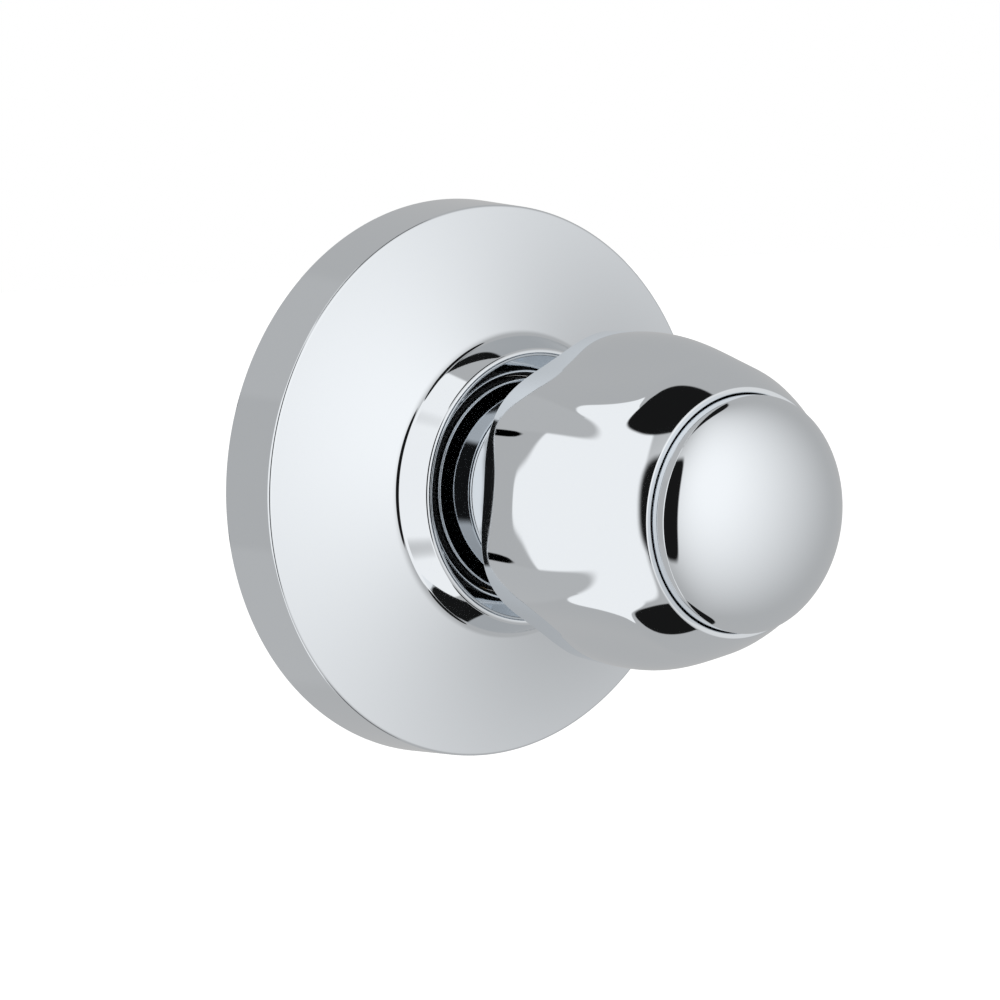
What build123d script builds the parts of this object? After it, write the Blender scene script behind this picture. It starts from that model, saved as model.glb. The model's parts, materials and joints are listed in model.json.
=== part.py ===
"""Flush cock with a body hidden in the wall, a sliding wall flange and a scalloped knob.

The pieces are drawn in a bench frame: Z is the spindle's axis and points out of the wall, Y is up, and
Z = 0 is the finished wall. The last step turns them so that the knob points along -Y, with Z up.
All sizes are in millimetres.
"""

import os
from math import cos, pi, sin

from build123d import *

# Wall flange
flange_r = 43.0
flange_draft = 0.6
flange_wall = 1.6
rim_depth = 10.3
rim_edge_round = 0.5
face_rise = 5.65
face_bow = 0.45
collar_r = 22.9
collar_draft = 0.5
collar_height = 5.9
collar_foot_round = 1.2
collar_edge_round = 0.8
lip_drop = 4.6
lip_bow = 0.5
throat_length = 3.5
hub_wall = 2.8
flange_ring_tube = 1.1

# Sleeve
sleeve_r = 16.6
sleeve_wall = 1.6
sleeve_lap = 4.5
sleeve_web = 7.0
sleeve_web_drop = 1.0

# Valve body
pipe_depth = 17.0
body_half = 27.0
body_r = 15.0
belly_r = 16.6
mouth_stand = 5.0
socket_r = 12.06
socket_depth = 12.5
port_r = 9.0
chamber_wall = 3.6
wrench_flat = 28.4
wrench_flat_length = 8.0
partition = 3.0
seat_bore_r = 7.5
seat_land = 1.8
seat_rise = 1.0

# Headwork
headwork_thread_r = 12.0
seal_thickness = 1.5
hex_across = 28.0
hex_height = 6.5
barrel_r = 12.0
gland_length = 11.0

# Plug
lift = 7.0
washer_r = 9.5
washer_thickness = 2.5
cup_skirt = 1.5
cup_wall = 0.8
cup_thickness = 2.0
carrier_r = 8.3
carrier_flat = 13.6
carrier_length = 24.0
plate_r = 6.0
plate_thickness = 1.2
washer_screw_r = 1.9
washer_screw_head_r = 3.1
washer_screw_head = 2.0
washer_screw_bite = 5.5

# Spindle
spindle_r = 5.0
spindle_engagement = 8.5
spindle_collar_r = 6.5
spindle_collar = 3.2
thrust_washer = 1.0
spindle_ring_tube = 0.75
ring_pitch = 4.0
circlip_r = 7.0
circlip_thickness = 0.9
circlip_bite = 0.8
spline_r = 4.0
spline_depth = 0.4
spline_teeth = 20
spline_length = 13.0

# Knob: a cubic curve gives the crests' radius from the rear edge to the front edge
knob_rear_r = 24.2
knob_bulge_rear_r = 25.5
knob_bulge_front_r = 25.2
knob_front_r = 19.2
knob_length = 31.5
knob_bulge_rear = 10.0
knob_bulge_front = 20.0
knob_rear_round = 1.4
knob_front_bevel = 1.0
scallops = 6
scallop_depth = 1.6
scallop_length = 16.0
scallop_turn = -4.0
scallop_points = 6
knob_sections = 8
knob_cavity_r = 20.2
boss_r = 7.5
knob_web = 4.0
knob_screw_r = 1.95
knob_screw_head_r = 3.8
knob_screw_head = 2.6
knob_screw_bite = 8.0
screw_washer_r = 4.6
screw_washer_thickness = 0.8
screw_slot_share = 0.3

# Knob cap
cap_r = 17.3
cap_wall = 1.6
cap_skirt = 5.0
cap_band = 1.6
cap_dome = 7.2
cap_ledge = 2.8
cap_ring_tube = 0.7

# Clearances
running_fit = 0.08
thread_gap = 0.1
loose_gap = 0.3
throat_gap = 0.6
end_gap = 0.5
cap_gap = 0.15
ring_gap = 0.02
boss_gap = 3.5
top_gap = 0.8

# Heights along the spindle's axis, from the wall
foot_z = rim_depth + face_rise
collar_top = foot_z + collar_height
throat_top = collar_top - lip_drop
hub_back = throat_top - throat_length
seat_top = seat_rise - pipe_depth
washer_top = seat_top + washer_thickness
cup_top = washer_top + cup_thickness
carrier_top = cup_top + carrier_length
nose = cup_top + lift + end_gap
hex_base = mouth_stand + seal_thickness
hex_top = hex_base + hex_height
guide_roof = carrier_top + lift + top_gap
spindle_collar_base = guide_roof + end_gap
spindle_collar_top = spindle_collar_base + spindle_collar
shoulder = spindle_collar_top + thrust_washer + ring_gap
barrel_top = shoulder + gland_length
spindle_end = carrier_top - spindle_engagement
circlip_base = barrel_top + ring_gap
circlip_top = circlip_base + circlip_thickness
boss_base = barrel_top + boss_gap
spindle_top = boss_base + spline_length
web_base = spindle_top + end_gap
web_top = web_base + knob_web
knob_rear = barrel_top + end_gap
knob_front = knob_rear + knob_length
cap_base = knob_front - cap_skirt
sleeve_front = knob_rear + sleeve_lap

# Radii that follow from the fits
throat_r = sleeve_r + throat_gap
recess_r = cap_r + cap_gap
gland_r = spindle_r + running_fit


def turned(points, rounds=()):
    """A turned piece from (radius, height) points; rounds holds (point number, radius) pairs."""
    profile = make_face(Polyline(*points, close=True))
    for number, radius in rounds:
        corner = profile.vertices().sort_by_distance((*points[number], 0))[0]
        profile = fillet(corner, radius)
    return revolve(Plane.XZ * profile, Axis.Z)


def rod(radius, base, top):
    return Pos(0, 0, base) * Cylinder(radius, top - base, align=(Align.CENTER, Align.CENTER, Align.MIN))


def tube(outer, inner, base, top):
    return rod(outer, base, top) - rod(inner, base, top)


def rubber_ring(inner, tube_r, height):
    return Pos(0, 0, height) * Torus(inner + ring_gap + tube_r, tube_r)


def across_pipe(radius, near, far):
    """A cylinder along the pipe's axis, between two distances above the spindle's axis."""
    length = far - near
    return Pos(0, (near + far) / 2, -pipe_depth) * Rot(90, 0, 0) * Cylinder(radius, length)


def valve_body():
    pipe_axis = Pos(0, 0, -pipe_depth)
    shell = across_pipe(body_r, -body_half, body_half) + pipe_axis * Sphere(belly_r)
    shell += rod(belly_r, -pipe_depth, mouth_stand)
    flat_cut = Box(body_r, wrench_flat_length, 2 * body_r)
    for side in (-1, 1):
        for end in (-1, 1):
            place = (side * (wrench_flat + body_r) / 2, end * (body_half - wrench_flat_length / 2), -pipe_depth)
            shell -= Pos(*place) * flat_cut

    partition_back = -pipe_depth - partition
    room = 2 * belly_r
    behind = Pos(0, 0, partition_back - room) * Box(4 * room, 4 * room, 2 * room)
    before = Pos(0, 0, room - pipe_depth) * Box(4 * room, 4 * room, 2 * room)
    floor = body_half - socket_depth
    inlet = (pipe_axis * Sphere(belly_r - chamber_wall) + across_pipe(port_r, 0, floor)) & behind
    outlet = across_pipe(port_r, -floor, 0) & before
    front_chamber = rod(headwork_thread_r, -pipe_depth, mouth_stand)
    land = tube(seat_bore_r + seat_land, seat_bore_r, -pipe_depth, seat_top)
    seat_bore = rod(seat_bore_r, partition_back - partition, -pipe_depth)
    for hollow in (inlet, outlet, front_chamber - land, seat_bore):
        shell -= hollow
    for near, far in ((floor, body_half), (-body_half, -floor)):
        shell -= across_pipe(socket_r, near, far)
    return shell


def headwork():
    thread_r = headwork_thread_r - thread_gap
    outside = rod(thread_r, nose, hex_base) + rod(barrel_r, hex_top, barrel_top)
    hexagon = RegularPolygon(hex_across / 2, 6, major_radius=False)
    outside += Pos(0, 0, hex_base) * extrude(hexagon, hex_height)
    guide = rod(carrier_r + running_fit, nose, guide_roof)
    guide_width = carrier_flat + 2 * running_fit
    guide &= Box(guide_width, 4 * carrier_r, 4 * guide_roof)
    collar_bore = rod(spindle_collar_r + loose_gap, guide_roof, shoulder)
    return outside - guide - collar_bore - rod(gland_r, shoulder, barrel_top)


def headwork_seal():
    return tube(hex_across / 2, headwork_thread_r, mouth_stand, hex_base)


def sleeve():
    inner = sleeve_r - sleeve_wall
    web_front = barrel_top - sleeve_web_drop
    pipe = tube(sleeve_r, inner, hex_top, sleeve_front)
    return pipe + tube(inner, barrel_r + thread_gap, web_front - sleeve_web, web_front)


def wall_flange():
    front_r = flange_r - flange_draft
    edge_r = collar_r - collar_draft
    hub_r = throat_r + hub_wall
    groove_r = sleeve_r + 2 * flange_ring_tube + 2 * ring_gap
    groove_mid = (throat_top + hub_back) / 2
    groove_half = flange_ring_tube + ring_gap
    inner_foot = foot_z - flange_wall
    face_mid = ((front_r + collar_r) / 2, (rim_depth + foot_z) / 2 + face_bow)
    lip_mid = ((edge_r + throat_r) / 2, (collar_top + throat_top) / 2 - lip_bow)
    rim_back = (flange_r, 0)
    rim_front = (front_r, rim_depth)
    foot = (collar_r, foot_z)
    edge = (edge_r, collar_top)
    inside = [
        (throat_r, throat_top),
        (throat_r, groove_mid + groove_half),
        (groove_r, groove_mid + groove_half),
        (groove_r, groove_mid - groove_half),
        (throat_r, groove_mid - groove_half),
        (throat_r, hub_back),
        (hub_r, hub_back),
        (hub_r, inner_foot),
        (front_r - flange_wall, rim_depth - flange_wall),
        (flange_r - flange_wall, 0),
    ]
    outline = Line(rim_back, rim_front) + ThreePointArc(rim_front, face_mid, foot) + Line(foot, edge)
    outline += ThreePointArc(edge, lip_mid, inside[0]) + Polyline(*inside, rim_back)
    profile = make_face(outline)
    corners = ((rim_front, rim_edge_round), (foot, collar_foot_round), (edge, collar_edge_round))
    for corner, radius in corners:
        profile = fillet(profile.vertices().sort_by_distance((*corner, 0))[0], radius)
    return revolve(Plane.XZ * profile, Axis.Z)


def flange_ring():
    return rubber_ring(sleeve_r, flange_ring_tube, (throat_top + hub_back) / 2)


def spindle_ring_heights():
    middle = shoulder + gland_length / 2
    return middle - ring_pitch / 2, middle + ring_pitch / 2


def spline_outline(grow):
    outer = spline_r + grow
    inner = outer - spline_depth
    step = pi / spline_teeth
    points = []
    for number in range(2 * spline_teeth):
        radius = outer if number % 2 == 0 else inner
        points.append((radius * cos(number * step), radius * sin(number * step)))
    return make_face(Polyline(*points, close=True))


def spindle():
    shaft = rod(spindle_r - thread_gap, spindle_end, spindle_collar_base)
    shaft += rod(spindle_collar_r, spindle_collar_base, spindle_collar_top)
    shaft += rod(spindle_r, spindle_collar_top, boss_base - end_gap)
    shaft += Pos(0, 0, boss_base - end_gap) * extrude(spline_outline(0), spindle_top - boss_base + end_gap)
    floor_r = gland_r - 2 * spindle_ring_tube - 2 * ring_gap
    half = spindle_ring_tube + ring_gap
    for height in spindle_ring_heights():
        shaft -= tube(2 * spindle_r, floor_r, height - half, height + half)
    shaft -= tube(2 * spindle_r, spindle_r - circlip_bite, circlip_base, circlip_top)
    return shaft - rod(knob_screw_r + thread_gap, spindle_top - knob_screw_bite - end_gap, spindle_top)


def spindle_ring(height):
    return rubber_ring(gland_r - 2 * spindle_ring_tube - 2 * ring_gap, spindle_ring_tube, height)


def thrust_ring():
    return tube(spindle_collar_r, spindle_r + thread_gap, spindle_collar_top, spindle_collar_top + thrust_washer)


def circlip():
    ring = tube(circlip_r, spindle_r - circlip_bite, circlip_base, circlip_top)
    mouth = Box(2 * circlip_r, spindle_r, 2 * circlip_thickness)
    return ring - Pos(circlip_r, 0, circlip_base) * mouth


def plug_carrier():
    body = rod(carrier_r, cup_top, carrier_top) & Box(carrier_flat, 4 * carrier_r, 4 * carrier_top)
    cup_r = washer_r + ring_gap + cup_wall
    body += rod(cup_r, washer_top, cup_top)
    body += tube(cup_r, washer_r + ring_gap, washer_top - cup_skirt, washer_top)
    body -= rod(spindle_r, spindle_end - lift - end_gap, carrier_top)
    return body - rod(washer_screw_r + ring_gap, washer_top, washer_top + washer_screw_bite + end_gap)


def seat_washer():
    return tube(washer_r, washer_screw_r + ring_gap, seat_top, washer_top)


def washer_plate():
    return tube(plate_r, washer_screw_r + ring_gap, seat_top - plate_thickness, seat_top)


def slotted_screw(shank_r, head_r, head, tip, seat, pointing):
    """A cheese-headed screw whose head sits at seat; pointing is +1 where the head is above its shank."""
    low, high = sorted((tip, seat))
    top = seat + pointing * head
    screw = rod(shank_r, low, high) + rod(head_r, *sorted((seat, top)))
    slot = Box(3 * head_r, screw_slot_share * head_r, head)
    return screw - Pos(0, 0, top) * slot


def washer_screw():
    seat = seat_top - plate_thickness
    return slotted_screw(
        washer_screw_r, washer_screw_head_r, washer_screw_head, washer_top + washer_screw_bite, seat, -1
    )


def knob_profile(share):
    """Radius and height on the crests' curve, with share running from 0 at the rear to 1 at the front."""
    weights = ((1 - share) ** 3, 3 * share * (1 - share) ** 2, 3 * share**2 * (1 - share), share**3)
    radii = (knob_rear_r, knob_bulge_rear_r, knob_bulge_front_r, knob_front_r)
    heights = (0, knob_bulge_rear, knob_bulge_front, knob_length)
    radius = sum(w * r for w, r in zip(weights, radii))
    return radius, sum(w * h for w, h in zip(weights, heights))


def knob_section(share):
    radius, height = knob_profile(share)
    left = max(0, 1 - height / scallop_length)
    depth = scallop_depth * left**2 * (3 - 2 * left)
    points = []
    steps = scallop_points * scallops
    for number in range(steps):
        angle = 2 * pi * number / steps
        dip = depth * (1 + cos(scallops * angle)) / 2
        points.append(((radius - dip) * cos(angle), (radius - dip) * sin(angle)))
    return Pos(0, 0, knob_rear + height) * make_face(Spline(*points, periodic=True))


def knob_shell():
    skin = loft([knob_section(number / knob_sections) for number in range(knob_sections + 1)])
    skin = Rot(0, 0, scallop_turn) * skin
    skin = fillet(skin.edges().group_by(Axis.Z)[0], knob_rear_round)
    rim = knob_front_r + knob_front_bevel
    bevel_base = knob_front - 2 * knob_front_bevel
    skin -= turned([(knob_front_r - knob_front_bevel, knob_front), (rim, knob_front), (rim, bevel_base)])
    boss = rod(boss_r, boss_base, web_base)
    skin -= rod(knob_cavity_r, knob_rear, web_base) - boss
    skin -= Pos(0, 0, boss_base) * extrude(spline_outline(running_fit), web_base - boss_base)
    skin -= rod(knob_screw_r + loose_gap, web_base, web_top)
    skin -= rod(recess_r - cap_ledge, web_top, cap_base)
    return skin - rod(recess_r, cap_base, knob_front)


def knob_screw():
    seat = web_top + screw_washer_thickness
    tip = spindle_top - knob_screw_bite
    return slotted_screw(knob_screw_r, knob_screw_head_r, knob_screw_head, tip, seat, 1)


def screw_washer():
    return tube(screw_washer_r, knob_screw_r + loose_gap, web_top, web_top + screw_washer_thickness)


def dome(radius, height, base):
    """Half an ellipsoid that stands on base."""
    arc = EllipticalCenterArc((0, base), radius, height, start_angle=0, arc_size=90)
    outline = arc + Polyline((0, base + height), (0, base), (radius, base))
    return revolve(Plane.XZ * make_face(outline), Axis.Z)


def knob_cap():
    spring = knob_front + cap_band
    outside = rod(cap_r, cap_base, spring) + dome(cap_r, cap_dome, spring)
    inner = cap_r - cap_wall - 2 * cap_ring_tube
    outside -= rod(inner, cap_base, spring) + dome(inner, cap_dome - cap_wall, spring)
    groove_mid = cap_base + cap_skirt / 2
    half = cap_ring_tube + ring_gap
    groove_r = recess_r - 2 * cap_ring_tube - 2 * ring_gap
    return outside - tube(2 * cap_r, groove_r, groove_mid - half, groove_mid + half)


def cap_ring():
    groove_r = recess_r - 2 * cap_ring_tube - 2 * ring_gap
    return rubber_ring(groove_r, cap_ring_tube, cap_base + cap_skirt / 2)


ring_heights = spindle_ring_heights()
pieces = {
    "valve_body": valve_body(),
    "headwork": headwork(),
    "headwork_seal": headwork_seal(),
    "sleeve": sleeve(),
    "wall_flange": wall_flange(),
    "flange_ring": flange_ring(),
    "spindle": spindle(),
    "spindle_ring_inner": spindle_ring(ring_heights[0]),
    "spindle_ring_outer": spindle_ring(ring_heights[1]),
    "thrust_washer": thrust_ring(),
    "circlip": circlip(),
    "plug_carrier": plug_carrier(),
    "seat_washer": seat_washer(),
    "washer_plate": washer_plate(),
    "washer_screw": washer_screw(),
    "knob_shell": knob_shell(),
    "knob_screw": knob_screw(),
    "screw_washer": screw_washer(),
    "knob_cap": knob_cap(),
    "cap_ring": cap_ring(),
}

os.makedirs("parts", exist_ok=True)
for name, piece in pieces.items():
    export_step(Rot(90, 0, 0) * piece, f"parts/{name}.step")
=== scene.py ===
import json

import bpy
import numpy as np
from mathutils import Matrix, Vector


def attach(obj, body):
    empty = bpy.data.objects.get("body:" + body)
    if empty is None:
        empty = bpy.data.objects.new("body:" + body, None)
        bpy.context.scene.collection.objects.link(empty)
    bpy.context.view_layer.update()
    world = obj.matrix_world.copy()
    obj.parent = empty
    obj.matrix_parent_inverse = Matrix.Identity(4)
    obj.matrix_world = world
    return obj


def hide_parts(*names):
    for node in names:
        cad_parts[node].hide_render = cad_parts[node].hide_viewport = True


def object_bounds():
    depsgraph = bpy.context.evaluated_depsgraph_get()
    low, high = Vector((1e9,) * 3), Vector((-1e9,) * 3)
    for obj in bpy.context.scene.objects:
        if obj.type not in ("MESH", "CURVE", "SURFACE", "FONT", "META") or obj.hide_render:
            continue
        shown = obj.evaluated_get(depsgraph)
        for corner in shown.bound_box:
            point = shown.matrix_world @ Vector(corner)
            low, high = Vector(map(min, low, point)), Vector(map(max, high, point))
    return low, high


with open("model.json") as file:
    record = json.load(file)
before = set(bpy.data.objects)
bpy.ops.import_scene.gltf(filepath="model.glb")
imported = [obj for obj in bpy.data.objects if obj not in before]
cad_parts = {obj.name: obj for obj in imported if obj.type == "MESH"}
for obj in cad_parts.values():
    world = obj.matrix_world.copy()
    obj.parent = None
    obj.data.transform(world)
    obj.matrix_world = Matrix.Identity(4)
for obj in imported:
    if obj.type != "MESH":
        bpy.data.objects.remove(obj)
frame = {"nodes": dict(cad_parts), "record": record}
nodes = frame["nodes"]
cadBox = [list(corner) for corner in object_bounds()]
mm = 0.001
leastGap = 1e-5  # profile points nearer than this, in mm, count as one
print("frame loaded:", len(nodes), "nodes")


# profiles: all radii and heights are in mm, and heights run out of the wall along the spindle's axis

def smoothStep(x):  # 3x^2 - 2x^3 between 0 and 1, flat outside
    x = np.clip(x, 0, 1)
    return x * x * (3 - 2 * x)


def straightRun(start, end, bow=0.0):  # start + t(end - start), pushed aside by the parabola 4 bow t(1 - t)
    start, end = np.array(start, float), np.array(end, float)
    along = end - start
    side = np.array([along[1], -along[0]]) / np.hypot(*along)
    return lambda t: start + np.outer(t, along) + np.outer(4 * bow * t * (1 - t), side)


def bezierRun(radii, heights):  # cubic Bezier: weights (1-t)^3, 3t(1-t)^2, 3t^2(1-t), t^3
    ends = np.array([radii, heights], float).T
    return lambda t: np.stack([(1 - t) ** 3, 3 * t * (1 - t) ** 2, 3 * t**2 * (1 - t), t**3], 1) @ ends


def ellipseRun(radius, height, base, start=0.0, end=90.0):  # (radius cos u, base + height sin u)
    def run(t):
        u = np.radians(start + t * (end - start))
        return np.stack([radius * np.cos(u), base + height * np.sin(u)], 1)
    return run


def tangentAt(run, t):
    step = 1e-4
    ends = run(np.array([np.clip(t - step, 0, 1), np.clip(t + step, 0, 1)]))
    return (ends[1] - ends[0]) / np.hypot(*(ends[1] - ends[0]))


def roundedProfile(runs, rounds, steps, arcSteps=9, closed=True):
    # each corner is cut back by round * tan(turn / 2), and a circular arc, written as a rational
    # quadratic with the middle weight cos(turn / 2), joins the two ends
    count = len(runs)
    corners = range(count) if closed else range(count - 1)
    lengthSteps = 50
    samples = np.linspace(0, 1, lengthSteps)
    lengths = [np.hypot(*np.diff(run(samples), axis=0).T).sum() for run in runs]
    first, last = np.zeros(count), np.ones(count)
    for i in corners:
        j = (i + 1) % count
        before, after = tangentAt(runs[i], 1.0), tangentAt(runs[j], 0.0)
        turn = np.arccos(np.clip(before @ after, -1, 1))
        cut = rounds[i] * np.tan(turn / 2)
        last[i] = 1 - cut / lengths[i]
        first[j] = cut / lengths[j]
    points = []
    for i in range(count):
        spread = (1 - np.cos(np.linspace(0, np.pi, steps[i]))) / 2  # closer together near the corners
        line = runs[i](first[i] + (last[i] - first[i]) * spread)
        points.append(line)
        if i not in corners or rounds[i] <= 0:
            continue
        j = (i + 1) % count
        before, after = tangentAt(runs[i], last[i]), tangentAt(runs[j], first[j])
        start, end = line[-1], runs[j](np.array([first[j]]))[0]
        reach = np.linalg.solve(np.array([before, after]).T, end - start)[0]
        middle = start + reach * before
        weight = np.cos(np.arccos(np.clip(before @ after, -1, 1)) / 2)
        t = np.linspace(0, 1, arcSteps + 2)[1:-1]
        shares = np.stack([(1 - t) ** 2, 2 * weight * t * (1 - t), t**2], 1)
        points.append(shares @ np.array([start, middle, end]) / shares.sum(1)[:, None])
    points = np.concatenate(points)
    gaps = np.hypot(*(points - np.roll(points, 1, axis=0)).T)
    if not closed:
        gaps[0] = np.inf  # an open profile keeps its first point
    return points[gaps > leastGap]


def cornerRuns(corners, bows):
    # a closed ring of straight runs between (radius, height, round) corners, with each run's end round;
    # bows gives the parabola's height for the runs that aren't straight
    following = corners[1:] + corners[:1]
    pairs = enumerate(zip(corners, following))
    runs = [straightRun(a[:2], b[:2], bows.get(i, 0.0)) for i, (a, b) in pairs]
    return runs, [corner[2] for corner in following]


def makeMesh(name, verts, faces, smooth=True):
    mesh = bpy.data.meshes.new(name)
    mesh.from_pydata(verts.tolist(), [], faces)
    mesh.polygons.foreach_set("use_smooth", np.full(len(mesh.polygons), smooth))
    mesh.update()
    piece = bpy.data.objects.new(name, mesh)
    bpy.context.scene.collection.objects.link(piece)
    return piece


def turnedPiece(name, profile, sides, closed=True, reshape=None):
    # a grid of angle by profile point: x = r cos(angle), y = -height, z = r sin(angle);
    # reshape(r, height, angle) may change the radius, and an open profile begins and ends on the axis
    angle = 2 * np.pi * np.arange(sides) / sides
    ring = profile if closed else profile[1:-1]
    count = len(ring)
    radius, turn = np.meshgrid(ring[:, 0], angle)
    height = np.meshgrid(ring[:, 1], angle)[0]
    if reshape:
        radius = reshape(radius, height, turn)
    verts = np.stack([radius * np.cos(turn), -height, radius * np.sin(turn)], -1).reshape(-1, 3)
    column = np.arange(sides)[:, None] * count
    nextColumn = np.roll(column, -1, axis=0)
    row = np.arange(count if closed else count - 1)[None]
    nextRow = (row + 1) % count
    quads = np.stack([column + row, nextColumn + row, nextColumn + nextRow, column + nextRow], -1)
    quads = quads.reshape(-1, 4)
    first, second, third = (verts[quads[:, i]] for i in range(3))
    insideOut = np.einsum("ij,ij->i", first, np.cross(second, third)).sum() < 0  # sign of the volume
    faces = quads.tolist()
    if not closed:
        ends = [[0, -profile[0, 1], 0], [0, -profile[-1, 1], 0]]
        verts = np.concatenate([verts, ends])
        top, bottom = len(verts) - 2, len(verts) - 1
        a, b = column[:, 0], nextColumn[:, 0]
        faces += np.stack([b, a, np.full(sides, top)], -1).tolist()
        faces += np.stack([a + count - 1, b + count - 1, np.full(sides, bottom)], -1).tolist()
    if insideOut:
        faces = [face[::-1] for face in faces]
    return makeMesh(name, verts * mm, faces)


# wall flange

flange = {
    "rim": 43.0, "draft": 0.6, "rimDepth": 10.3, "wall": 1.6,
    "foot": 15.95, "collar": 22.9, "collarTop": 21.85, "collarDraft": 2.2, "faceBow": 0.45, "dish": 17.5,
    "throat": 17.2, "throatTop": 17.25, "hubBack": 13.75, "hub": 20.0, "groove": 18.84, "grooveHalf": 1.12,
    "backRound": 0.25, "rimRound": 0.5, "footRound": 1.8, "collarRound": 0.7, "dishRound": 0.3,
    "throatRound": 0.2, "grooveRound": 0.1, "hubRound": 0.3, "hubFootRound": 0.15, "innerRound": 1.0,
    "steps": (14, 40, 14, 22, 4, 4, 4, 4, 4, 4, 6, 3, 16, 10, 4), "sides": 300,
}


def flangeProfile(f):
    # closed outline: straight runs joined by arcs, and a face that swells by the parabola 4 bow t(1 - t)
    front, edge = f["rim"] - f["draft"], f["collar"] - f["collarDraft"]
    grooveMid = (f["throatTop"] + f["hubBack"]) / 2
    top, low = grooveMid + f["grooveHalf"], grooveMid - f["grooveHalf"]
    corners = [
        (f["rim"], 0, f["backRound"]),
        (front, f["rimDepth"], f["rimRound"]),
        (f["collar"], f["foot"], f["footRound"]),
        (edge, f["collarTop"], f["collarRound"]),
        (f["dish"], f["throatTop"], f["dishRound"]),
        (f["throat"], f["throatTop"], f["throatRound"]),
        (f["throat"], top, f["grooveRound"]),
        (f["groove"], top, f["grooveRound"]),
        (f["groove"], low, f["grooveRound"]),
        (f["throat"], low, f["grooveRound"]),
        (f["throat"], f["hubBack"], f["throatRound"]),
        (f["hub"], f["hubBack"], f["hubRound"]),
        (f["hub"], f["foot"] - f["wall"], f["hubFootRound"]),
        (front - f["wall"], f["rimDepth"] - f["wall"], f["innerRound"]),
        (f["rim"] - f["wall"], 0, f["backRound"]),
    ]
    face = 1  # the run from the rim's front edge to the collar's foot
    runs, rounds = cornerRuns(corners, {face: -f["faceBow"]})
    return roundedProfile(runs, rounds, f["steps"])


flangeShell = turnedPiece("flangeShell", flangeProfile(flange), flange["sides"])
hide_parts("wall_flange")
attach(flangeShell, "flange")
print("flange:", len(flangeShell.data.polygons), "faces")


# sleeve between flange and knob

sleeve = {
    "outer": 16.6, "inner": 15.0, "back": 13.0, "front": 41.02,
    "webBore": 12.1, "webBack": 28.02, "webFront": 35.02,
    "endRound": 0.25, "frontRound": 0.4, "webRound": 0.2,
    "steps": (24, 4, 6, 5, 8, 5, 12, 4), "arcSteps": 5, "sides": 240,
}


def sleeveProfile(s):
    # closed outline of a tube with a web across its inside: straight runs joined by arcs
    corners = [
        (s["outer"], s["back"], s["endRound"]),
        (s["outer"], s["front"], s["frontRound"]),
        (s["inner"], s["front"], s["endRound"]),
        (s["inner"], s["webFront"], s["webRound"]),
        (s["webBore"], s["webFront"], s["webRound"]),
        (s["webBore"], s["webBack"], s["webRound"]),
        (s["inner"], s["webBack"], s["webRound"]),
        (s["inner"], s["back"], s["endRound"]),
    ]
    runs, rounds = cornerRuns(corners, {})
    return roundedProfile(runs, rounds, s["steps"], s["arcSteps"])


sleeveTube = turnedPiece("sleeveTube", sleeveProfile(sleeve), sleeve["sides"])
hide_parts("sleeve")
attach(sleeveTube, "cock")
print("sleeve:", len(sleeveTube.data.polygons), "faces")


# knob: the crests follow a cubic curve, and six finger scallops sink into it from the rear

knob = {
    "rear": 36.52, "length": 31.5,
    "radii": (24.65, 25.25, 26.2, 18.3), "heights": (0, 10.0, 19.6, 31.5),
    "scallops": 6, "scallopDepth": 1.6, "scallopHold": 6.0, "scallopLength": 6.0, "scallopTurn": -4.0,
    "flatRadius": 23.95, "flatTaper": 0.088, "flatBlend": 0.2,
    "cavity": 20.2, "boss": 7.5, "bossBack": 39.52, "webBack": 53.02, "webFront": 57.02,
    "spline": 4.08, "splineDepth": 0.4, "splineTeeth": 20, "screwHole": 2.25,
    "ledge": 14.65, "ledgeFront": 63.02, "recess": 17.45,
    "rearRound": 0.5, "frontRound": 0.3, "recessRound": 0.2, "recessFootRound": 0.15,
    "ledgeRound": 0.2, "ledgeFootRound": 0.3, "screwRound": 0.2, "boreRound": 0.1, "mouthRound": 0.3,
    "bossRound": 0.5, "bossFootRound": 0.8, "cavityFootRound": 1.0, "cavityRound": 0.4,
    "margin": 0.05, "boreMargin": 1.0, "heightMargin": 0.01,
    "steps": (90, 5, 6, 5, 6, 10, 4, 4, 14, 5, 10, 12, 14, 6), "sides": 312,
}


def knobProfile(k):
    # closed outline: a cubic Bezier for the skin, then straight runs joined by arcs through the inside
    front = k["rear"] + k["length"]
    skin = bezierRun(k["radii"], [k["rear"] + h for h in k["heights"]])
    corners = [
        (k["radii"][3], front, k["frontRound"]),
        (k["recess"], front, k["recessRound"]),
        (k["recess"], k["ledgeFront"], k["recessFootRound"]),
        (k["ledge"], k["ledgeFront"], k["ledgeRound"]),
        (k["ledge"], k["webFront"], k["ledgeFootRound"]),
        (k["screwHole"], k["webFront"], k["screwRound"]),
        (k["screwHole"], k["webBack"], k["boreRound"]),
        (k["spline"], k["webBack"], k["boreRound"]),
        (k["spline"], k["bossBack"], k["mouthRound"]),
        (k["boss"], k["bossBack"], k["bossRound"]),
        (k["boss"], k["webBack"], k["bossFootRound"]),
        (k["cavity"], k["webBack"], k["cavityFootRound"]),
        (k["cavity"], k["rear"], k["cavityRound"]),
        (k["radii"][0], k["rear"], k["rearRound"]),
    ]
    runs = [skin] + [straightRun(a[:2], b[:2]) for a, b in zip(corners, corners[1:])]
    return roundedProfile(runs, [corner[2] for corner in corners], k["steps"])


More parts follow.
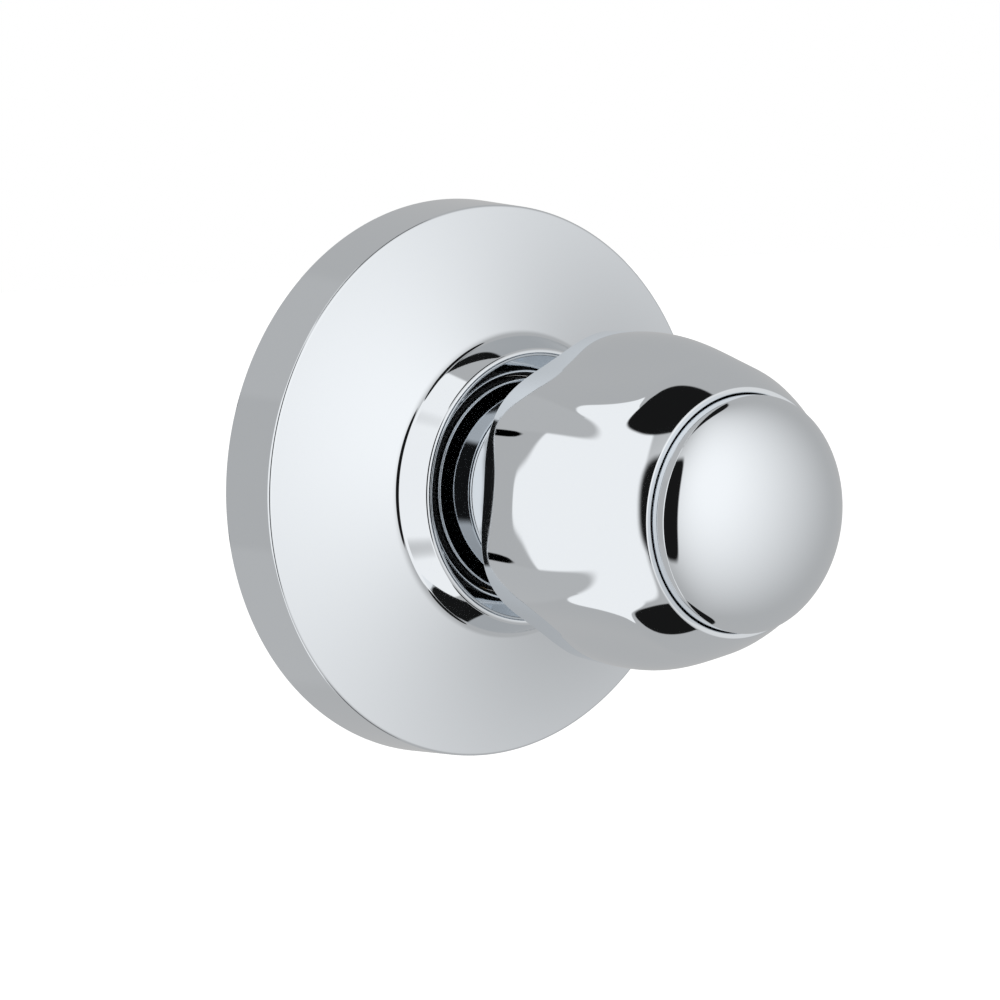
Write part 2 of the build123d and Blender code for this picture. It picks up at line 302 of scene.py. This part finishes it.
def knobReshape(radius, height, turn):
    # scallops: radius - d (1 + cos 6 turn) / 2 on the skin and its rear edge only, where d is the smooth
    # maximum (a + b + sqrt((a - b)^2 + blend^2)) / 2 of the rear depth a, which fades out, and the depth b
    # down to a taper; bore: a saw of teeth round the spline
    k = knob
    out = height - k["rear"]
    rear = k["scallopDepth"] * smoothStep(1 - (out - k["scallopHold"]) / k["scallopLength"])
    taper = radius - k["flatRadius"] + k["flatTaper"] * out
    deep = (rear + taper + np.sqrt((rear - taper) ** 2 + k["flatBlend"] ** 2)) / 2
    onSkin = np.clip((radius - k["cavity"]) / (k["radii"][0] - k["rearRound"] - k["cavity"]), 0, 1)
    onSkin = np.where(out > k["scallopHold"], radius > k["recess"] + k["margin"], onSkin)
    wave = (1 + np.cos(k["scallops"] * (turn - np.radians(k["scallopTurn"])))) / 2
    radius = radius - deep * onSkin * wave
    tooth = np.abs((turn * k["splineTeeth"] / (2 * np.pi)) % 1 - 0.5) * 2
    inBore = (radius < k["spline"] + k["margin"]) & (radius > k["screwHole"] + k["boreMargin"])
    inBore &= height < k["webBack"] + k["heightMargin"]
    return np.where(inBore, radius - k["splineDepth"] * tooth, radius)


knobSkin = turnedPiece("knobSkin", knobProfile(knob), knob["sides"], reshape=knobReshape)
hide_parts("knob_shell")
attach(knobSkin, "knob")
print("knob:", len(knobSkin.data.polygons), "faces")


# domed cap in the knob's front

cap = {
    "radius": 17.3, "base": 63.02, "spring": 69.62, "dome": 7.2, "wall": 1.6, "inner": 14.3,
    "crown": 18.3, "crownHeight": 9.5, "groove": 16.01, "grooveMid": 65.52, "grooveHalf": 0.72,
    "edgeRound": 0.35, "grooveRound": 0.1, "baseRound": 0.2,
    "steps": (80, 14, 4, 4, 4, 6, 5, 10, 30), "arcSteps": 5, "sides": 360,
}


def capProfile(c):
    # open outline from pole to pole: the crown is an ellipse cut off at the cap's radius, the hollow a
    # quarter ellipse, and straight runs joined by arcs make the skirt and its groove
    top, low = c["grooveMid"] + c["grooveHalf"], c["grooveMid"] - c["grooveHalf"]
    crownBase = c["spring"] + c["dome"] - c["crownHeight"]
    crownEnd = np.degrees(np.arccos(c["radius"] / c["crown"]))
    edge = crownBase + c["crownHeight"] * np.sin(np.radians(crownEnd))
    corners = [
        (c["radius"], edge, c["edgeRound"]),
        (c["radius"], top, c["grooveRound"]),
        (c["groove"], top, c["grooveRound"]),
        (c["groove"], low, c["grooveRound"]),
        (c["radius"], low, c["grooveRound"]),
        (c["radius"], c["base"], c["baseRound"]),
        (c["inner"], c["base"], c["baseRound"]),
        (c["inner"], c["spring"], 0.0),
    ]
    crown = ellipseRun(c["crown"], c["crownHeight"], crownBase, 90, crownEnd)
    hollow = ellipseRun(c["inner"], c["dome"] - c["wall"], c["spring"], 0, 90)
    runs = [crown] + [straightRun(a[:2], b[:2]) for a, b in zip(corners, corners[1:])] + [hollow]
    rounds = [corner[2] for corner in corners]
    return roundedProfile(runs, rounds, c["steps"], c["arcSteps"], closed=False)


capDome = turnedPiece("capDome", capProfile(cap), cap["sides"], closed=False)
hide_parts("knob_cap")
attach(capDome, "knob")
print("cap:", len(capDome.data.polygons), "faces")


# finishes

def newGroup(name, inputs, outputs):
    group = bpy.data.node_groups.new(name, "ShaderNodeTree")
    for label, kind, value in inputs:
        socket = group.interface.new_socket(label, in_out="INPUT", socket_type=kind)
        socket.default_value = value
    for label, kind in outputs:
        group.interface.new_socket(label, in_out="OUTPUT", socket_type=kind)
    return group, group.nodes.new("NodeGroupInput"), group.nodes.new("NodeGroupOutput")


def buildHandling():
    # wiped-on haze: broad noise times fine noise, mapped to a roughness between Low and High
    number = "NodeSocketFloat"
    fineScale, broadDetail, fineDetail = 7.0, 4.0, 3.0
    faint, strong = 0.12, 0.42  # the product of the two noises that gives Low and High
    group, given, result = newGroup(
        "handlingHaze",
        [("Vector", "NodeSocketVector", (0, 0, 0)), ("Scale", number, 60.0),
         ("Low", number, 0.03), ("High", number, 0.08)],
        [("Roughness", number)],
    )
    links = group.links
    broad, fine, mix, level = (group.nodes.new(kind) for kind in (
        "ShaderNodeTexNoise", "ShaderNodeTexNoise", "ShaderNodeMath", "ShaderNodeMapRange"))
    stretch = group.nodes.new("ShaderNodeMath")
    stretch.operation = "MULTIPLY"
    stretch.inputs[1].default_value = fineScale
    broad.inputs["Detail"].default_value = broadDetail
    fine.inputs["Detail"].default_value = fineDetail
    mix.operation = "MULTIPLY"
    links.new(given.outputs["Vector"], broad.inputs["Vector"])
    links.new(given.outputs["Vector"], fine.inputs["Vector"])
    links.new(given.outputs["Scale"], broad.inputs["Scale"])
    links.new(given.outputs["Scale"], stretch.inputs[0])
    links.new(stretch.outputs[0], fine.inputs["Scale"])
    links.new(broad.outputs["Fac"], mix.inputs[0])
    links.new(fine.outputs["Fac"], mix.inputs[1])
    links.new(mix.outputs[0], level.inputs["Value"])
    level.inputs["From Min"].default_value = faint
    level.inputs["From Max"].default_value = strong
    links.new(given.outputs["Low"], level.inputs["To Min"])
    links.new(given.outputs["High"], level.inputs["To Max"])
    links.new(level.outputs["Result"], result.inputs["Roughness"])
    return group


def buildGrain():
    # cast or moulded grain: noise for the height, a slower noise for the tone between two colours
    number = "NodeSocketFloat"
    slowScale, fineDetail, slowDetail = 0.08, 5.0, 3.0
    group, given, result = newGroup(
        "surfaceGrain",
        [("Vector", "NodeSocketVector", (0, 0, 0)), ("Scale", number, 900.0),
         ("Dark", "NodeSocketColor", (0.5, 0.35, 0.15, 1)),
         ("Light", "NodeSocketColor", (0.7, 0.5, 0.25, 1))],
        [("Height", number), ("Color", "NodeSocketColor")],
    )
    links = group.links
    fine, slow, slower, mix = (group.nodes.new(kind) for kind in (
        "ShaderNodeTexNoise", "ShaderNodeTexNoise", "ShaderNodeMath", "ShaderNodeMix"))
    mix.data_type = "RGBA"
    slower.operation = "MULTIPLY"
    slower.inputs[1].default_value = slowScale
    fine.inputs["Detail"].default_value = fineDetail
    slow.inputs["Detail"].default_value = slowDetail
    links.new(given.outputs["Vector"], fine.inputs["Vector"])
    links.new(given.outputs["Vector"], slow.inputs["Vector"])
    links.new(given.outputs["Scale"], fine.inputs["Scale"])
    links.new(given.outputs["Scale"], slower.inputs[0])
    links.new(slower.outputs[0], slow.inputs["Scale"])
    links.new(slow.outputs["Fac"], mix.inputs["Factor"])
    links.new(given.outputs["Dark"], mix.inputs["A"])
    links.new(given.outputs["Light"], mix.inputs["B"])
    links.new(fine.outputs["Fac"], result.inputs["Height"])
    links.new(mix.outputs["Result"], result.inputs["Color"])
    return group


haze, grain = buildHandling(), buildGrain()


def newMaterial(name):
    material = bpy.data.materials.new(name)
    material.use_nodes = True
    tree = material.node_tree
    return material, tree, tree.nodes["Principled BSDF"]


def placeGroup(tree, group, coords, **values):
    node = tree.nodes.new("ShaderNodeGroup")
    node.node_tree = group
    tree.links.new(coords.outputs["Object"], node.inputs["Vector"])
    for label, value in values.items():
        node.inputs[label].default_value = value
    return node


def grainMaterial(name, look):
    material, tree, shader = newMaterial(name)
    coords = tree.nodes.new("ShaderNodeTexCoord")
    dark, light = (*look["dark"], 1), (*look["light"], 1)
    marks = placeGroup(tree, grain, coords, Scale=look["grain"], Dark=dark, Light=light)
    wear = placeGroup(tree, haze, coords, Scale=look["hazeScale"], Low=look["low"], High=look["high"])
    bump = tree.nodes.new("ShaderNodeBump")
    bump.inputs["Strength"].default_value = look["bump"]
    bump.inputs["Distance"].default_value = look["relief"]
    shader.inputs["Metallic"].default_value = look["metal"]
    tree.links.new(marks.outputs["Color"], shader.inputs["Base Color"])
    tree.links.new(marks.outputs["Height"], bump.inputs["Height"])
    tree.links.new(bump.outputs["Normal"], shader.inputs["Normal"])
    tree.links.new(wear.outputs["Roughness"], shader.inputs["Roughness"])
    return material


looks = {
    "chrome": {"grain": 40.0, "dark": (0.765, 0.795, 0.825), "light": (0.80, 0.83, 0.86), "hazeScale": 55.0,
               "low": 0.02, "high": 0.05, "metal": 1.0, "bump": 0.0, "relief": 0.00001},
    "brass": {"grain": 1500.0, "dark": (0.50, 0.33, 0.12), "light": (0.68, 0.48, 0.21), "hazeScale": 120.0,
              "low": 0.26, "high": 0.46, "metal": 1.0, "bump": 0.35, "relief": 0.0001},
    "steel": {"grain": 2500.0, "dark": (0.50, 0.50, 0.51), "light": (0.64, 0.64, 0.65), "hazeScale": 200.0,
              "low": 0.2, "high": 0.36, "metal": 1.0, "bump": 0.1, "relief": 0.00005},
    "rubber": {"grain": 3000.0, "dark": (0.018, 0.018, 0.019), "light": (0.035, 0.035, 0.036),
               "hazeScale": 150.0, "low": 0.5, "high": 0.7, "metal": 0.0, "bump": 0.2, "relief": 0.00005},
    "nylon": {"grain": 1200.0, "dark": (0.66, 0.64, 0.57), "light": (0.76, 0.74, 0.68), "hazeScale": 150.0,
              "low": 0.4, "high": 0.55, "metal": 0.0, "bump": 0.1, "relief": 0.00005},
}
finishes = {name: grainMaterial(name + "Finish", look) for name, look in looks.items()}

for piece in (flangeShell, sleeveTube, knobSkin, capDome):
    piece.data.materials.append(finishes["chrome"])
for row in frame["record"]["subparts"]:
    node = nodes[row["node"]]
    node.data.materials.clear()
    node.data.materials.append(finishes[row["material_slot"]])
print("finishes:", ", ".join(finishes))


# studio: a grey room with light and dark panels that the metal mirrors, a floor well below and the camera

studio = {
    "floorDrop": 0.16, "floorSide": 3.0, "floorTone": (0.5, 0.5, 0.5), "floorRough": 0.9, "floorGlow": 0.8,
    "room": 0.5,
    # panels, later ones over earlier ones, in degrees: bearing (0 is left of the part, 90 behind it, -90
    # before it), height, half width, half height, slope, corner power, edge, brightness
    "panels": {
        "frontGlow": (-85, 15, 52, 54, 0.0, 2.0, 0.9, 1.12),
        "leftCard": (14.2, 0, 30.2, 66, 0.0, 8.0, 0.03, 1.04),
        "upperCard": (38, 61, 38, 9, 0.0, 4.0, 0.05, 1.04),
        "lowerCard": (38, -60, 38, 9, 0.0, 4.0, 0.05, 1.04),
        "upperGrey": (58, 35, 40, 16, -0.14, 2.0, 0.1, 0.53),
        "lowerGrey": (58, -35, 41, 16, 0.06, 2.0, 0.1, 0.53),
        "upperBar": (60, 16, 6.5, 2.4, -0.1, 2.0, 0.15, 0.0),
        "lowerBar": (60, -16, 6.5, 2.6, 0.1, 2.0, 0.15, 0.0),
        "darkGap": (-30.5, 4, 15.5, 40, 0.0, 4.0, 0.08, 0.01),
    },
    # dark patches overhead and below, in parts of the radius: x, y, half width, half depth, slope, corner
    # power, edge, brightness
    "overhead": (-0.12, -0.03, 0.45, 0.2, 0.0, 2.5, 0.04, 0.01),
    "below": (-0.06, 0.04, 0.28, 0.19, 0.0, 2.5, 0.04, 0.01),
    "key": {"place": (-0.7, -0.6, 0.9), "aim": (0.0, -0.03, 0.0), "size": (0.8, 0.8), "brightness": 1.0},
    "aim": (0.0, -0.0215, 0.0), "azimuth": -39.41, "elevation": 6.01, "distance": 0.7525,
    "lens": 178.5, "sensor": 36.0, "shift": (-0.0385, -0.0128), "clip": 0.01,
}


def chain(tree, operation, *values):
    # one maths node; numbers are set on its sockets and sockets are linked
    node = tree.nodes.new("ShaderNodeMath")
    node.operation = operation
    for socket, value in zip(node.inputs, values):
        if isinstance(value, (int, float)):
            socket.default_value = value
        else:
            tree.links.new(value, socket)
    return node.outputs[0]


def buildPanel():
    # mask of one panel: (|b/width|^p + |h/height|^p)^(1/p) is 1 on its edge, b and h being measured from its
    # centre
    number = "NodeSocketFloat"
    labels = (
        "Bearing", "Height", "At Bearing", "At Height", "Half Width", "Half Height", "Slope", "Power", "Edge",
    )
    inputs = [(label, number, 1.0) for label in labels]
    group, given, result = newGroup("studioPanel", inputs, [("Mask", number)])
    at = given.outputs
    across = chain(group, "SUBTRACT", at["Bearing"], at["At Bearing"])
    lean = chain(group, "MULTIPLY", across, at["Slope"])
    up = chain(group, "SUBTRACT", chain(group, "SUBTRACT", at["Height"], at["At Height"]), lean)
    sides = []
    for offset, half in ((across, at["Half Width"]), (up, at["Half Height"])):
        share = chain(group, "DIVIDE", chain(group, "ABSOLUTE", offset), half)
        sides.append(chain(group, "POWER", share, at["Power"]))
    total = chain(group, "ADD", *sides)
    norm = chain(group, "POWER", total, chain(group, "DIVIDE", 1.0, at["Power"]))
    ramp = group.nodes.new("ShaderNodeMapRange")
    ramp.interpolation_type = "SMOOTHSTEP"
    group.links.new(norm, ramp.inputs["Value"])
    group.links.new(chain(group, "ADD", 1.0, at["Edge"]), ramp.inputs["From Min"])
    group.links.new(chain(group, "SUBTRACT", 1.0, at["Edge"]), ramp.inputs["From Max"])
    group.links.new(ramp.outputs["Result"], result.inputs["Mask"])
    return group


def buildRoom(s):
    world = bpy.data.worlds.new("studioRoom")
    bpy.context.scene.world = world
    world.use_nodes = True
    tree = world.node_tree
    tree.nodes.clear()
    coords = tree.nodes.new("ShaderNodeTexCoord").outputs["Generated"]
    split = tree.nodes.new("ShaderNodeSeparateXYZ")
    tree.links.new(coords, split.inputs[0])
    x, y, z = split.outputs
    bearing = chain(tree, "DEGREES", chain(tree, "ARCTAN2", y, chain(tree, "MULTIPLY", x, -1.0)))
    height = chain(tree, "DEGREES", chain(tree, "ARCSINE", z))

    def over(level, mask, brightness):
        mix = tree.nodes.new("ShaderNodeMix")
        tree.links.new(mask, mix.inputs["Factor"])
        if isinstance(level, float):
            mix.inputs["A"].default_value = level
        else:
            tree.links.new(level, mix.inputs["A"])
        mix.inputs["B"].default_value = brightness
        return mix.outputs["Result"]

    panel, level = buildPanel(), s["room"]

    def place(first, second, values):
        node = tree.nodes.new("ShaderNodeGroup")
        node.node_tree = panel
        tree.links.new(first, node.inputs["Bearing"])
        tree.links.new(second, node.inputs["Height"])
        for socket, value in zip(list(node.inputs)[2:], values[:-1]):
            socket.default_value = value
        return node.outputs["Mask"]

    for values in s["panels"].values():
        level = over(level, place(bearing, height, values), values[-1])
    for side, values in (("GREATER_THAN", s["overhead"]), ("LESS_THAN", s["below"])):
        mask = chain(tree, "MULTIPLY", place(x, y, values), chain(tree, side, z, 0.0))
        level = over(level, mask, values[-1])
    level = over(level, tree.nodes.new("ShaderNodeLightPath").outputs["Is Camera Ray"], 1.0)
    glow = tree.nodes.new("ShaderNodeBackground")
    tree.links.new(level, glow.inputs["Strength"])
    glow.inputs["Color"].default_value = (1, 1, 1, 1)
    tree.links.new(glow.outputs["Background"], tree.nodes.new("ShaderNodeOutputWorld").inputs["Surface"])


def buildFloor(s):
    side = s["floorSide"]
    grid = np.array([[-side, -side], [side, -side], [side, side], [-side, side]])
    low = cadBox[0][2] - s["floorDrop"]
    floor = makeMesh("floor", np.column_stack([grid, np.full(4, low)]), [[0, 1, 2, 3]], smooth=False)
    material, tree, shader = newMaterial("floorPaint")
    shader.inputs["Base Color"].default_value = (*s["floorTone"], 1)
    shader.inputs["Roughness"].default_value = s["floorRough"]
    path = tree.nodes.new("ShaderNodeLightPath")
    # the glow lifts the lit paint to white for the camera and keeps the shadow
    glow = tree.nodes.new("ShaderNodeEmission")
    both = tree.nodes.new("ShaderNodeAddShader")
    seen = chain(tree, "MAXIMUM", path.outputs["Is Camera Ray"], path.outputs["Is Glossy Ray"])
    tree.links.new(chain(tree, "MULTIPLY", seen, s["floorGlow"]), glow.inputs["Strength"])
    tree.links.new(shader.outputs["BSDF"], both.inputs[0])
    tree.links.new(glow.outputs["Emission"], both.inputs[1])
    tree.links.new(both.outputs["Shader"], tree.nodes["Material Output"].inputs["Surface"])
    floor.data.materials.append(material)
    floor.visible_glossy = False  # the metal mirrors the room's panels below it


def buildKey(place, aim, size, brightness):
    lamp = bpy.data.lights.new("key", "AREA")
    lamp.shape = "RECTANGLE"
    lamp.size, lamp.size_y = size
    lamp.energy = np.pi * size[0] * size[1] * brightness
    key = bpy.data.objects.new("key", lamp)
    bpy.context.scene.collection.objects.link(key)
    key.location = place
    key.rotation_euler = (Vector(aim) - Vector(place)).to_track_quat("-Z", "Y").to_euler()
    key.visible_camera = False
    key.visible_glossy = False


def buildCamera(s):
    eye = bpy.data.cameras.new("camera")
    eye.lens, eye.sensor_width = s["lens"], s["sensor"]
    eye.shift_x, eye.shift_y = s["shift"]
    eye.clip_start = s["clip"]
    camera = bpy.data.objects.new("camera", eye)
    bpy.context.scene.collection.objects.link(camera)
    around, up = np.radians(s["azimuth"]), np.radians(s["elevation"])
    outward = Vector((np.sin(around) * np.cos(up), -np.cos(around) * np.cos(up), np.sin(up)))
    camera.location = Vector(s["aim"]) + outward * s["distance"]
    camera.rotation_euler = (-outward).to_track_quat("-Z", "Y").to_euler()
    bpy.context.scene.camera = camera


buildRoom(studio)
buildFloor(studio)
buildKey(**studio["key"])
buildCamera(studio)
bpy.context.scene.view_settings.view_transform = "Standard"
print("studio ready")
